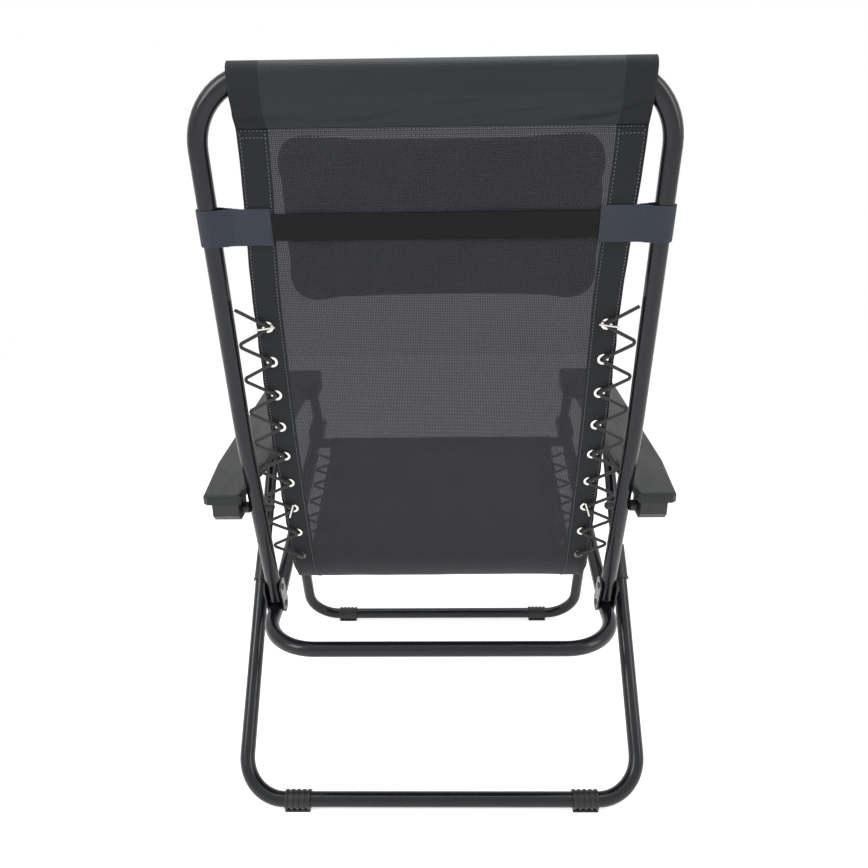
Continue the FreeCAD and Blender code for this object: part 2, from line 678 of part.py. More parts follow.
def nose_pin(side):
    """The blind pin in an armrest's nose that the front link hangs on."""
    face = "arm_nose - 0.05"
    body = turned([
        ("pin_reach", "0"), ("pin_reach", "pin_d / 2"), (face, "pin_d / 2"), (face, "head_r"),
        (f"{face} - head_h * 0.6", "head_r * 0.85"), (f"{face} - head_h", "head_r * 0.5"),
        (f"{face} - head_h", "0")])
    body.Placement = mirrored(LINK_TOP, side)
    return body


def build_arms():
    leg_grip = "tube_od + 2 * side_gap + 2 * plate + 0.1"
    for word, side in SIDES:
        armrest(f"armrest_{word}", side)
        bearing_block(f"arm_bearing_{word}", side)
        leg_bracket(f"leg_bracket_{word}", side)
        pivot_bolt(f"arm_pivot_bolt_{word}", side)
        pivot_spacer(f"arm_pivot_spacer_{word}", side)
        pivot_cap(f"arm_pivot_cap_{word}", side)
    leg_pins, link_pins = [], []
    for _, side in SIDES:
        for pivot in (REAR_PIVOT, FRONT_PIVOT):
            pin = rivet(leg_grip)
            pin.Placement = Placement(pivot + across(side * HALF_LEG), Rotation())
            leg_pins.append(pin)
        link_pins.append(nose_pin(side))
    group_of("leg_pivot_rivets", leg_pins)
    group_of("link_top_pins", link_pins)


# ---------------------------------------------------------------- seat and back frames
def back_path():
    end = HINGE - LOW_BACK * size.back_tail
    half = across(HALF_FRAME)
    corners = [end - half, BACK_KINK - half, TOP_BAR - half,
               TOP_BAR + half, BACK_KINK + half, end + half]
    radii = [size.back_curve, size.frame_bend, size.frame_bend, size.back_curve]
    return wire_of(corners, radii)


def cross_bore(place, radius, long=60):
    """A round cutter along X through a place on the left and right tubes."""
    return [Part.makeCylinder(radius, long, place + across(side * HALF_FRAME - long / 2),
                              Vector(1, 0, 0)) for _, side in SIDES]


def build_back_frame():
    tube = bent_tube(back_path(), size.tube_od / 2, size.tube_wall)
    holes = cross_bore(HINGE, size.pin_d / 2 + size.running_gap)
    holes += cross_bore(ARM_PIVOT, size.bolt_d / 2 + size.running_gap)
    feature_of("back_frame", tube.cut(Part.makeCompound(holes)))
    for word, side in SIDES:
        plug = turned([("0", "0"), ("0", "tube_od / 2"), ("2.5", "tube_od / 2"),
                       ("2.5", "tube_od / 2 - tube_wall - 0.1"),
                       ("12", "tube_od / 2 - tube_wall - 0.1"), ("12", "0")])
        end = HINGE - LOW_BACK * (size.back_tail + 2.55) + across(side * HALF_FRAME)
        plug.Placement = along(end, end + LOW_BACK)
        keep(f"back_tube_plug_{word}", plug)


def seat_path():
    front = Vector(0, size.rail_front_y, rail_z(size.rail_front_y))
    rear = Vector(0, size.seat_rear_y, size.seat_rear_z)
    half = across(HALF_FRAME)
    corners = [front - half, RAIL_KINK - half, rear - half,
               rear + half, RAIL_KINK + half, front + half]
    radii = [size.leg_bend, size.frame_bend, size.frame_bend, size.leg_bend]
    return wire_of(corners, radii)


RAIL_RIVET = Vector(0, size.rail_kink_y - 12, rail_z(size.rail_kink_y - 12))
LINK_RIVET = LINK_LOW - RAIL_AHEAD * 38
FRONT_BAR_AT = (Vector(0, size.rail_front_y, rail_z(size.rail_front_y))
                - RAIL_AHEAD * size.front_bar_back)


def ear_bracket(label, side, tube_point, pivot, tube_r, bore):
    """A channel of two ears: riveted round the seat rail, open at the pivot."""
    body = new_body()
    span = (pivot - tube_point).Length
    width = tube_r + size.side_gap
    sketch = new_sketch(body, "YZ_Plane", "Ears")
    reach = size.ear_r + 1.5
    arcs = [(Vector(0, 0, 0), 180, 360), (Vector(0, span, 0), 0, 180)]
    for centre, start, stop in arcs:
        circle = Part.Circle(centre, Vector(0, 0, 1), reach)
        sketch.addGeometry(
            Part.ArcOfCircle(circle, math.radians(start), math.radians(stop)), False)
    sketch.addGeometry(Part.LineSegment(Vector(reach, 0, 0), Vector(reach, span, 0)), False)
    sketch.addGeometry(Part.LineSegment(Vector(-reach, span, 0), Vector(-reach, 0, 0)), False)
    low, high, right, left = range(4)
    for first, end, second, start in ((low, 2, right, 1), (right, 2, high, 1),
                                      (high, 2, left, 1), (left, 2, low, 1)):
        sketch.addConstraint(Sketcher.Constraint("Tangent", first, end, second, start))
    index = sketch.addConstraint(Sketcher.Constraint("Radius", low, reach))
    sketch.setExpression(f"Constraints[{index}]", bound("ear_r + 1.5"))
    sketch.addConstraint(Sketcher.Constraint("Coincident", low, 3, -1, 1))
    pin_point(sketch, high, 3, "0", f"{span}")
    pad(body, sketch, f"{2 * width} + 2 * plate")
    channel = polygon(body, "XZ_Plane", "Channel",
                      [(f"{-width}", f"{-width - 0.4}"), (f"{width}", f"{-width - 0.4}"),
                       (f"{width}", f"{span} + 3 * ear_r"),
                       (f"{-width}", f"{span} + 3 * ear_r")])
    cut_through(body, channel)
    for name, height, radius in (("RailBore", "0", "pin_d / 2 + running_gap"),
                                 ("PivotBore", f"{span}", bore)):
        cut_through(body, circles(body, "YZ_Plane", name, ("0", height), [radius]))
    turn = lean((pivot - tube_point).y, (pivot - tube_point).z)
    body.Placement = Placement(tube_point + across(side * HALF_FRAME), turn)
    return keep(label, body)


def build_seat_frame():
    tube = bent_tube(seat_path(), size.tube_od / 2, size.tube_wall)
    holes = cross_bore(RAIL_RIVET, size.pin_d / 2 + size.running_gap)
    holes += cross_bore(LINK_RIVET, size.pin_d / 2 + size.running_gap)
    feature_of("seat_frame", tube.cut(Part.makeCompound(holes)))
    bar = ring("thin_od / 2", "thin_od / 2 - tube_wall",
               "frame_spacing - tube_od - 2 * 0.1")
    bar.Placement = Placement(FRONT_BAR_AT, Rotation())
    keep("seat_front_bar", bar)
    hinge_rivets, link_rivets = [], []
    grip = "tube_od + 2 * side_gap + 2 * plate + 0.1"
    for word, side in SIDES:
        ear_bracket(f"hinge_bracket_{word}", side, RAIL_RIVET, HINGE,
                    size.tube_od / 2, "pin_d / 2 + running_gap")
        link_bracket(f"link_bracket_{word}", side)
        for place, kept in ((HINGE, hinge_rivets), (RAIL_RIVET, hinge_rivets),
                            (LINK_RIVET, link_rivets), (LINK_LOW, link_rivets)):
            pin = rivet(grip)
            pin.Placement = Placement(place + across(side * HALF_FRAME), Rotation())
            kept.append(pin)
    group_of("hinge_rivets", hinge_rivets)
    group_of("link_low_rivets", link_rivets)


def link_bracket(label, side):
    """Two ears that reach from the seat rail forward to the lower link pin, and their web."""
    body = new_body()
    reach = (LINK_LOW - LINK_RIVET).Length
    width = "(tube_od / 2 + side_gap)"
    low = f"-({width} + 0.3 + plate)"
    corners = [(low, "-ear_r"), ("ear_r * 0.5", "-ear_r"), ("ear_r * 0.95", "-ear_r * 0.5"),
               ("ear_r * 0.95", f"{reach} + ear_r * 0.4"),
               ("ear_r * 0.4", f"{reach} + ear_r * 0.95"),
               ("-ear_r * 0.4", f"{reach} + ear_r * 0.95"),
               ("-ear_r * 0.95", f"{reach} + ear_r * 0.4"), (low, f"{reach} - 2 * ear_r")]
    section = polygon(body, "YZ_Plane", "Side", corners)
    pad(body, section, f"2 * ({width} + plate)")
    channel = polygon(body, "XY_Plane", "Channel",
                      [(f"-{width}", f"-({width} + 0.3)"), (width, f"-({width} + 0.3)"),
                       (width, "ear_r * 2"), (f"-{width}", "ear_r * 2")])
    cut_through(body, channel)
    for name, height in (("RailBore", "0"), ("PivotBore", f"{reach}")):
        cut_through(body, circles(body, "YZ_Plane", name, ("0", height),
                                  ["pin_d / 2 + running_gap"]))
    turn = lean((LINK_LOW - LINK_RIVET).y, (LINK_LOW - LINK_RIVET).z)
    body.Placement = Placement(LINK_RIVET + across(side * HALF_FRAME), turn)
    return keep(label, body)


# ---------------------------------------------------------------- front links
def front_link(label, side):
    """The thin tube that hangs the seat's front corner from the armrest."""
    body = new_body()
    span = (LINK_TOP - LINK_LOW).Length
    section = circles(body, "XY_Plane", "Section", ("0", "0"),
                      ["thin_od / 2", "thin_od / 2 - tube_wall"],
                      Placement(Vector(0, 0, -size.link_over), Rotation()))
    pad(body, section, f"{span} + 2 * link_over", midplane=False)
    top = circles(body, "YZ_Plane", "TopBore", ("0", f"{span}"), ["pin_d / 2 + running_gap"])
    cut_through(body, top)
    low = circles(body, "YZ_Plane", "LowBore", ("0", "0"), ["pin_d / 2 + link_play"])
    cut_through(body, low)
    turn = lean((LINK_TOP - LINK_LOW).y, (LINK_TOP - LINK_LOW).z)
    body.Placement = Placement(LINK_LOW + across(side * HALF_FRAME), turn)
    return keep(label, body)


# ---------------------------------------------------------------- slings, lacing, headrest
def fold_corner():
    """Where the lines of the lower back and of the seat rails would cross."""
    m, s = size.back_low_slope, size.rail_slope
    y = (size.back_kink_y - m * (size.back_kink_z - size.rail_kink_z)
         + m * s * size.rail_kink_y) / (1 + m * s)
    return Vector(0, y, rail_z(y))


def spot(path, distance):
    """Place, direction and outer normal at a distance along a path in the side view."""
    distance = min(distance, path.Length - 0.001)
    for edge in path.OrderedEdges:
        if distance <= edge.Length:
            break
        distance -= edge.Length
    place = edge.getParameterByLength(distance)
    heading = edge.tangentAt(place)
    return edge.valueAt(place), heading, Vector(1, 0, 0).cross(heading)


def ribbon(path, width, thick):
    """A flat band along a path in the side view."""
    place, _, normal = spot(path, 0)
    corners = [place + across(x * width / 2) + normal * (n * thick / 2)
               for x, n in ((-1, -1), (1, -1), (1, 1), (-1, 1), (-1, -1))]
    return path.makePipeShell([Part.makePolygon(corners)], True, False)


def drop_face(radius, depth, side=0):
    """A drop: an arch over the origin, sides of this length, then drawn to a point at -Z."""
    turn = 0 if side else math.asin(radius / depth)
    low_y, low_z = radius * math.cos(turn), -radius * math.sin(turn)
    left, right = Vector(0, -low_y, low_z), Vector(0, low_y, low_z)
    down = Vector(0, 0, -side)
    line = [left, left + down, Vector(0, 0, -depth), right + down, right]
    runs = [Part.LineSegment(a, b).toShape() for a, b in zip(line, line[1:])
            if (b - a).Length > 1e-6]
    arch = Part.Arc(right, Vector(0, 0, radius), left).toShape()
    return Part.Face(Part.Wire([arch, *runs]))


def loop_round(centre, onward, inside, depth, thick, width, side=0):
    """Cloth sewn round a bar: closed round the centre, its seam lies onward."""
    outside = inside + thick
    slant = math.sin(math.atan2(outside, depth - side)) if side else outside / depth
    outer = drop_face(outside, depth, side).extrude(across(width))
    inner = drop_face(inside, depth - thick / slant, side).extrude(across(width))
    shape = outer.cut(inner)
    turn = lean(-onward.y, -onward.z)
    shape.Placement = Placement(centre - across(width / 2), turn)
    return shape


def sling_path():
    """The slings' middle surface in the side view, from the top seam to the front seam."""
    top = TOP_BAR - UP_BACK * (size.sleeve_drop - 8)
    front = FRONT_BAR_AT - RAIL_AHEAD * (size.wrap_drop - 6)
    return wire_of([top, BACK_KINK, fold_corner(), front], [size.back_curve, size.fold_r])


SLING = sling_path()
FOLD_AT = sum(edge.Length for edge in SLING.OrderedEdges[:3]) + (
    SLING.OrderedEdges[3].Length / 2)


def piece_before(path, distance):
    """Cutting box that covers the path beyond a distance."""
    place, heading, normal = spot(path, distance)
    box = Part.makeBox(1000, 1400, 1400, Vector(-500, -700, 0))
    box.Placement = Placement(place, lean(heading.y, heading.z))
    return box


def build_slings():
    whole = ribbon(SLING, size.sling_wide, size.cloth)
    back = whole.cut(piece_before(SLING, FOLD_AT - size.fold_gap))
    seat = whole.cut(back).cut(whole.common(strip_at_fold()))
    back = back.fuse(loop_round(TOP_BAR, -UP_BACK, size.sleeve_r, size.sleeve_drop,
                                size.cloth, size.sling_wide, size.sleeve_side))
    seat = seat.fuse(loop_round(FRONT_BAR_AT, -RAIL_AHEAD, size.front_wrap, size.wrap_drop,
                                size.cloth, size.sling_wide))
    feature_of("back_sling", back.removeSplitter())
    feature_of("seat_sling", seat.removeSplitter())


def strip_at_fold():
    """The gap between the two slings."""
    place, heading, _ = spot(SLING, FOLD_AT)
    tall = 2 * size.fold_gap + 0.5
    box = Part.makeBox(1000, 60, tall, Vector(-500, -30, size.fold_gap - tall))
    box.Placement = Placement(place, lean(heading.y, heading.z))
    return box


EYE_X = size.sling_wide / 2 - size.eye_edge
BACK_EYES = [size.eye_first - size.sleeve_drop + 8 + i * size.eye_pitch
             for i in range(int(size.back_eyes))]
SEAT_EYES = [SLING.Length - size.seat_eye_first - i * size.eye_pitch
             for i in range(int(size.seat_eyes))]
LIFT = size.cloth / 2 + size.eye_thick + size.cord_d / 2 + size.cord_gap
LOOP_X = HALF_FRAME - math.sqrt(
    ((size.tube_od + size.loop_d) / 2 + size.cord_gap) ** 2 - LIFT ** 2)
TURN_X = LOOP_X - (size.loop_d + size.cord_d) / 2 - size.cord_gap


def laced(side, distances, x_inner, x_outer):
    """Points of a zigzag between the eyelets and the thin cord."""
    half = size.eye_pitch / 2
    step = math.copysign(half, distances[-1] - distances[0])
    lean_half = math.atan2(half, x_outer - x_inner)
    bulge = size.cord_turn / math.sin(lean_half) - size.cord_turn
    x_inner, x_outer = x_inner - bulge, x_outer + bulge
    points = []
    for distance in distances:
        for x, d in ((x_outer, distance - step), (x_inner, distance)):
            place, _, normal = spot(SLING, d)
            points.append(place + across(side * x) + normal * LIFT)
    points[0] -= across(side * bulge)
    return points


def cord_along(label, points, radius, turn):
    path = wire_of(points, [turn] * (len(points) - 2))
    shape = swept(path, radius)
    rod = math.pi * radius ** 2 * path.Length
    print(f"{label}: {path.Length:.0f} mm long, turns of {turn:.1f} mm, "
          f"volume {shape.Volume / rod:.3f} of a straight rod")
    return shape


def meeting(a, a_way, b, b_way):
    """Where two lines in the side view meet."""
    gap, cross = b - a, a_way.y * b_way.z - a_way.z * b_way.y
    return a + a_way * ((gap.y * b_way.z - gap.z * b_way.y) / cross)


def loop_points(side, distances):
    """The thin cord beside the tube, from before the first turn to after the last."""
    reach = size.eye_pitch * 0.75
    step = math.copysign(reach, distances[-1] - distances[0])
    points, ways = [], []
    for distance in sorted((distances[0] - step, distances[-1] - step * 0.2)):
        place, heading, normal = spot(SLING, distance)
        points.append(place + across(side * LOOP_X) + normal * LIFT)
        ways.append(heading)
    if ways[0].getAngle(ways[1]) > 0.001:
        points.insert(1, meeting(points[0], ways[0], points[1], ways[1]))
    return points


def eyelets(label, side, distances):
    members = []
    for distance in distances:
        place, _, normal = spot(SLING, distance)
        eye = ring("eye_r", "eye_hole", "eye_thick")
        middle = place + across(side * EYE_X) + normal * (
            (size.cloth + size.eye_thick) / 2 + 0.03)
        eye.Placement = along(middle, middle + normal)
        members.append(eye)
    group_of(label, members)


def toggle(side, distance, tilt):
    """A thin pin that lies across the cord behind an eyelet."""
    pin = turned([("-toggle_long / 2", "0"), ("-toggle_long / 2", "toggle_d / 2"),
                  ("toggle_long / 2", "toggle_d / 2"), ("toggle_long / 2", "0")])
    place, heading, normal = spot(SLING, distance)
    lift = LIFT + (size.cord_d + size.toggle_d) / 2 + size.cord_gap
    middle = place + across(side * (EYE_X + 2)) + normal * lift
    towards = across(side * math.cos(tilt)) + heading * math.sin(tilt)
    pin.Placement = along(middle, middle + towards)
    return pin


def build_lacing():
    pins = []
    round_cap = Part.makeCompound(cross_bore(ARM_PIVOT, size.cap_r + 1))
    for word, side in SIDES:
        for name, distances in (("back", BACK_EYES), ("seat", SEAT_EYES)):
            points = laced(side, distances, EYE_X, TURN_X)
            label = f"{name}_cord_{word}"
            feature_of(label, cord_along(label, points, size.cord_d / 2, size.cord_turn))
            label = f"{name}_loop_cord_{word}"
            thin = cord_along(label, loop_points(side, distances), size.loop_d / 2,
                              size.back_curve + LIFT)
            feature_of(label, thin.cut(round_cap))
            eyelets(f"{name}_eyelets_{word}", side, distances)
        pins.append(toggle(side, BACK_EYES[0], 0.15))
        pins.append(toggle(side, BACK_EYES[6], 1.25))
    group_of("toggle_pins", pins)


def build_headrest():
    turn = lean(UP_BACK.y, UP_BACK.z)
    body = new_body()
    high, wide = "pillow_high / 2", "pillow_wide / 2"
    outline = polygon(body, "XZ_Plane", "Outline",
                      [(f"-{wide}", f"-{high}"), (wide, f"-{high}"), (wide, high),
                       (f"-{wide}", high)])
    block = pad(body, outline, "pillow_thick")
    corners = round_edges(body, block, "pillow_corner", lambda edge: abs(
        edge.tangentAt(edge.FirstParameter).y) > 0.99)
    round_edges(body, corners, "pillow_round", lambda edge: (
        max(v.Y for v in edge.Vertexes) - min(v.Y for v in edge.Vertexes) < 0.01))
    back_face = size.cloth / 2 + size.soft_gap + size.pillow_thick / 2
    rear = turn.multVec(Vector(0, 1, 0))
    place = TOP_BAR - UP_BACK * (size.pillow_drop + size.pillow_high / 2)
    body.Placement = Placement(place - rear * back_face, turn)
    keep("pillow", body)
    strap_at = TOP_BAR - UP_BACK * size.strap_drop
    lift = size.cloth / 2 + size.soft_gap + size.tab_thick / 2
    strap = new_body()
    band = polygon(strap, "XZ_Plane", "Band",
                   [("-strap_half + 0.1", "-strap_high / 2"),
                    ("strap_half - 0.1", "-strap_high / 2"),
                    ("strap_half - 0.1", "strap_high / 2"),
                    ("-strap_half + 0.1", "strap_high / 2")])
    pad(strap, band, "strap_thick")
    strap.Placement = Placement(strap_at + rear * lift, turn)
    keep("pillow_strap", strap)
    for word, side in SIDES:
        inside = size.tube_od / 2 + size.soft_gap
        outer = drop_face(inside + size.tab_thick, size.tab_neck + 6)
        inner = drop_face(inside, size.tab_neck)
        loop = outer.cut(inner).extrude(across(size.tab_high))
        flat_long = HALF_FRAME - size.tab_neck + 4 - size.strap_half
        flat = Part.makeBox(size.tab_high, size.tab_thick, flat_long, Vector(
            0, lift - size.tab_thick / 2, -(HALF_FRAME - size.strap_half)))
        loop = loop.fuse(flat).removeSplitter()
        feature_of(f"strap_tab_{word}", loop)
        place = strap_at + across(side * HALF_FRAME)
        parts[f"strap_tab_{word}"].Placement = tab_place(side, place, rear)


def tab_place(side, place, rear):
    """Local Z away from the centre plane, local Y to the rear, centred on the strap."""
    away = across(side)
    run = rear.cross(away)
    turn = Rotation(run, rear, away, "ZYX")
    return Placement(place - run * (size.tab_high / 2), turn)


build_legs()
build_arms()
build_back_frame()
build_seat_frame()
for word, side in SIDES:
    front_link(f"front_link_{word}", side)
build_slings()
build_lacing()
build_headrest()
sheet.clear(SPARE_CELL)
doc.recompute()

for item in doc.Objects:
    if "Invalid" in item.State or "Error" in item.State:
        raise RuntimeError(f"{item.Label} ({item.Name}) did not build: {item.State}")
os.makedirs("parts", exist_ok=True)
for label, thing in parts.items():
    shape = thing.Shape
    if shape.isNull() or not shape.isValid():
        raise RuntimeError(f"{label} has no valid shape")
    shape.exportStep(f"parts/{label}.step")
    box = shape.BoundBox
    print(f"{label}: {len(shape.Solids)} solid(s), {shape.Volume / 1000:.1f} cm3, "
          f"X {box.XMin:.0f}..{box.XMax:.0f} Y {box.YMin:.0f}..{box.YMax:.0f} "
          f"Z {box.ZMin:.0f}..{box.ZMax:.0f}")
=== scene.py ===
import json
import math

import bmesh
import bpy
from mathutils import Matrix, Vector, noise


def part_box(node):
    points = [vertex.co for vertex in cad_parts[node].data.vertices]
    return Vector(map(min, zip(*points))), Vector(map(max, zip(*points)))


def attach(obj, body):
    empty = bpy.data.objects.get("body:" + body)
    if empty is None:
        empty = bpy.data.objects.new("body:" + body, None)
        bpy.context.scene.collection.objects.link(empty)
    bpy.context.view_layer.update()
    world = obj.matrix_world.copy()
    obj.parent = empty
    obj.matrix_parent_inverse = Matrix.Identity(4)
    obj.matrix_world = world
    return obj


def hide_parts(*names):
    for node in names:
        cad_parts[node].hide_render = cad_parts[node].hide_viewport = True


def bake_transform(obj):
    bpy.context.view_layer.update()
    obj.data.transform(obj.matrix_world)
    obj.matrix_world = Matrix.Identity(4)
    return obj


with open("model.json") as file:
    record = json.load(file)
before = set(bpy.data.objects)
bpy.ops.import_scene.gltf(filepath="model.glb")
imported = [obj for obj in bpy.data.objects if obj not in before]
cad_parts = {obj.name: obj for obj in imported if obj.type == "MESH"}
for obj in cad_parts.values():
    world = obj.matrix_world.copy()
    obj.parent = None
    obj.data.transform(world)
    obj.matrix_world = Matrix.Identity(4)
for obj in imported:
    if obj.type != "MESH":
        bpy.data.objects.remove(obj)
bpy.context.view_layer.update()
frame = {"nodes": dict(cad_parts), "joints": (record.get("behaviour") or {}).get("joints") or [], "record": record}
NODES = frame["nodes"]


# ---------------------------------------------------------------- camera and stage
CAMERA_AT = Vector((-0.0103, 1.1820, 0.7903))
YAW, PITCH, ROLL = math.radians(-0.933), math.radians(13.365), math.radians(0.6135)
LENS_MM, SENSOR_MM = 30.69, 36.0


def add_camera():
    forward = Vector((-math.sin(YAW) * math.cos(PITCH),
                      -math.cos(YAW) * math.cos(PITCH), -math.sin(PITCH)))
    right = Vector((-math.cos(YAW), math.sin(YAW), 0))
    down = forward.cross(right)
    across = right * math.cos(ROLL) + down * math.sin(ROLL)
    up = right * math.sin(ROLL) - down * math.cos(ROLL)
    camera = bpy.data.objects.new("camera", bpy.data.cameras.new("camera"))
    bpy.context.scene.collection.objects.link(camera)
    turn = Matrix((across, up, -forward)).transposed()
    camera.matrix_world = Matrix.Translation(CAMERA_AT) @ turn.to_4x4()
    camera.data.sensor_width = SENSOR_MM
    camera.data.lens = LENS_MM
    bpy.context.scene.camera = camera


add_camera()
bpy.context.scene.view_settings.view_transform = "Standard"


# ---------------------------------------------------------------- material helpers
class Paint:
    """A node material that is built step by step round one principled shader."""

    def __init__(self, name, rough, **sockets):
        self.material = bpy.data.materials.new(name)
        self.material.use_nodes = True
        self.tree = self.material.node_tree
        self.shader = self.tree.nodes["Principled BSDF"]
        self.shader.inputs["Roughness"].default_value = rough
        for label, value in sockets.items():
            self.shader.inputs[label.replace("_", " ")].default_value = value
        self.place = self.add("ShaderNodeTexCoord").outputs["Object"]

    def add(self, kind, **settings):
        node = self.tree.nodes.new(kind)
        for key, value in settings.items():
            setattr(node, key, value)
        return node

    def link(self, source, target):
        self.tree.links.new(source, target)

    def noise(self, scale, detail=4.0, rough=0.55, stretch=None):
        node = self.add("ShaderNodeTexNoise")
        node.inputs["Scale"].default_value = scale
        node.inputs["Detail"].default_value = detail
        node.inputs["Roughness"].default_value = rough
        self.link(self.stretched(stretch), node.inputs["Vector"])
        return node.outputs["Fac"]

    def stretched(self, stretch):
        if stretch is None:
            return self.place
        mapping = self.add("ShaderNodeMapping")
        mapping.inputs["Scale"].default_value = stretch
        self.link(self.place, mapping.inputs["Vector"])
        return mapping.outputs["Vector"]

    def wave(self, scale, direction, distortion=0.0, stretch=None):
        node = self.add("ShaderNodeTexWave", bands_direction=direction)
        node.inputs["Scale"].default_value = scale
        node.inputs["Distortion"].default_value = distortion
        node.inputs["Detail"].default_value = 1.0
        self.link(self.stretched(stretch), node.inputs["Vector"])
        return node.outputs["Fac"]

    def span(self, source, low, high, to_low=0.0, to_high=1.0):
        node = self.add("ShaderNodeMapRange")
        for label, value in (("From Min", low), ("From Max", high),
                             ("To Min", to_low), ("To Max", to_high)):
            node.inputs[label].default_value = value
        self.link(source, node.inputs["Value"])
        return node.outputs["Result"]

    def maths(self, operation, first, second):
        node = self.add("ShaderNodeMath", operation=operation)
        for socket, item in zip(node.inputs, (first, second)):
            if isinstance(item, (int, float)):
                socket.default_value = item
            else:
                self.link(item, socket)
        return node.outputs["Value"]

    def mix(self, factor, first, second):
        node = self.add("ShaderNodeMix", data_type="RGBA")
        self.link(factor, node.inputs["Factor"])
        for socket, item in ((node.inputs[6], first), (node.inputs[7], second)):
            if isinstance(item, tuple):
                socket.default_value = (*item, 1.0)
            else:
                self.link(item, socket)
        return node.outputs[2]

    def colour(self, source):
        self.link(source, self.shader.inputs["Base Color"])
        return self

    def rough(self, source):
        self.link(source, self.shader.inputs["Roughness"])
        return self

    def bump(self, source, strength, depth):
        node = self.add("ShaderNodeBump")
        node.inputs["Strength"].default_value = strength
        node.inputs["Distance"].default_value = depth
        self.link(source, node.inputs["Height"])
        earlier = self.shader.inputs["Normal"].links
        if earlier:
            self.link(earlier[0].from_socket, node.inputs["Normal"])
        self.link(node.outputs["Normal"], self.shader.inputs["Normal"])
        return self

    def veil(self, share):
        """Let part of the light through, by a pattern."""
        clear = self.add("ShaderNodeBsdfTransparent")
        mixer = self.add("ShaderNodeMixShader")
        self.link(share, mixer.inputs["Fac"])
        self.link(self.shader.outputs["BSDF"], mixer.inputs[1])
        self.link(clear.outputs["BSDF"], mixer.inputs[2])
        out = self.tree.nodes["Material Output"]
        self.link(mixer.outputs["Shader"], out.inputs["Surface"])
        return self


def tone(red, green, blue):
    """A colour given as it shows on a screen, 0 to 255, as linear light."""
    def line(value):
        value /= 255
        return value / 12.92 if value <= 0.04045 else ((value + 0.055) / 1.055) ** 2.4
    return (line(red), line(green), line(blue))


# ---------------------------------------------------------------- the materials
def tube_paint():
    """Glossy charcoal powder coat with a faint orange peel and dust."""
    paint = Paint("tube_powder_coat", 0.24, Coat_Weight=0.08, Specular_IOR_Level=0.36)
    cloudy = paint.noise(9.0, 3.0)
    paint.colour(paint.mix(cloudy, tone(14, 16, 20), tone(24, 27, 34)))
    paint.rough(paint.span(paint.noise(55.0, 5.0), 0.35, 0.7, 0.19, 0.31))
    paint.bump(paint.noise(900.0, 2.0), 0.10, 0.0004)
    return paint.material


def arm_plastic():
    """Satin moulded plastic with a fine spark grain and faint scuffs along its length."""
    paint = Paint("arm_moulding", 0.42, Specular_IOR_Level=0.32)
    cloudy = paint.noise(14.0, 4.0)
    paint.colour(paint.mix(cloudy, tone(34, 36, 36), tone(44, 46, 46)))
    scuffs = paint.noise(60.0, 6.0, 0.7, stretch=(1.0, 0.12, 1.0))
    paint.rough(paint.span(scuffs, 0.3, 0.75, 0.34, 0.52))
    paint.bump(paint.noise(1500.0, 3.0), 0.22, 0.0003)
    paint.bump(scuffs, 0.05, 0.0004)
    return paint.material


def black_plastic():
    """Black nylon fittings: soft sheen, pebbled grain, paler at worn spots."""
    paint = Paint("fitting_nylon", 0.40)
    paint.colour(paint.mix(paint.span(paint.noise(38.0, 5.0), 0.45, 0.8),
                           tone(24, 25, 27), tone(40, 41, 43)))
    paint.rough(paint.span(paint.noise(80.0, 4.0), 0.3, 0.7, 0.32, 0.5))
    paint.bump(paint.noise(1200.0, 2.0), 0.25, 0.0003)
    return paint.material


def black_steel(name, base, rough):
    """Painted pressed steel with small chips."""
    paint = Paint(name, rough, Coat_Weight=0.2)
    chips = paint.span(paint.noise(240.0, 6.0, 0.7), 0.70, 0.76)
    paint.colour(paint.mix(chips, base, tone(96, 97, 99)))
    paint.rough(paint.span(paint.noise(90.0, 4.0), 0.3, 0.7, rough - 0.06, rough + 0.1))
    paint.bump(paint.noise(700.0, 2.0), 0.12, 0.0003)
    return paint.material


def nickel():
    """Bright nickel plate, slightly clouded by handling."""
    paint = Paint("nickel_plate", 0.16, Metallic=1.0)
    paint.colour(paint.mix(paint.noise(220.0, 3.0), tone(206, 203, 198), tone(232, 230, 226)))
    paint.rough(paint.span(paint.noise(500.0, 4.0), 0.3, 0.7, 0.10, 0.24))
    paint.bump(paint.noise(900.0, 2.0), 0.06, 0.0002)
    return paint.material


def woven(name, dark, light, scale, rough, sheen, clear=None):
    """A plain weave: two crossing sets of threads with slubs and fading."""
    paint = Paint(name, rough, Sheen_Weight=sheen, Sheen_Roughness=0.45,
                  Specular_IOR_Level=0.32)
    warp = paint.wave(scale, "X", 0.6)
    weft = paint.wave(scale, "Z", 0.6, stretch=(1.0, 1.0, 1.05))
    threads = paint.maths("MAXIMUM", warp, weft)
    fade = paint.noise(11.0, 4.0)
    slubs = paint.noise(260.0, 3.0, stretch=(0.2, 1.0, 1.0))
    shade = paint.maths("MULTIPLY_ADD", threads, 0.5)
    paint.tree.nodes[-1].inputs[2].default_value = 0.1
    mixed = paint.maths("ADD", shade, paint.maths("MULTIPLY", fade, 0.35))
    paint.colour(paint.mix(mixed, dark, light))
    paint.bump(threads, 0.35, 0.0006)
    paint.bump(slubs, 0.15, 0.0005)
    if clear is not None:
        holes = paint.span(threads, 0.25, 0.75, clear[1], clear[0])
        paint.veil(holes)
    return paint.material


def cord_sheath():
    """Braided elastic: crossing strands at a slant."""
    paint = Paint("cord_braid", 0.62, Sheen_Weight=0.2)
    one = paint.wave(420.0, "DIAGONAL", 0.4)
    two = paint.wave(420.0, "DIAGONAL", 0.4, stretch=(-1.0, 1.0, 1.0))
    braid = paint.maths("MULTIPLY", one, two)
    paint.colour(paint.mix(braid, tone(20, 21, 22), tone(44, 45, 46)))
    paint.bump(braid, 0.5, 0.0006)
    return paint.material


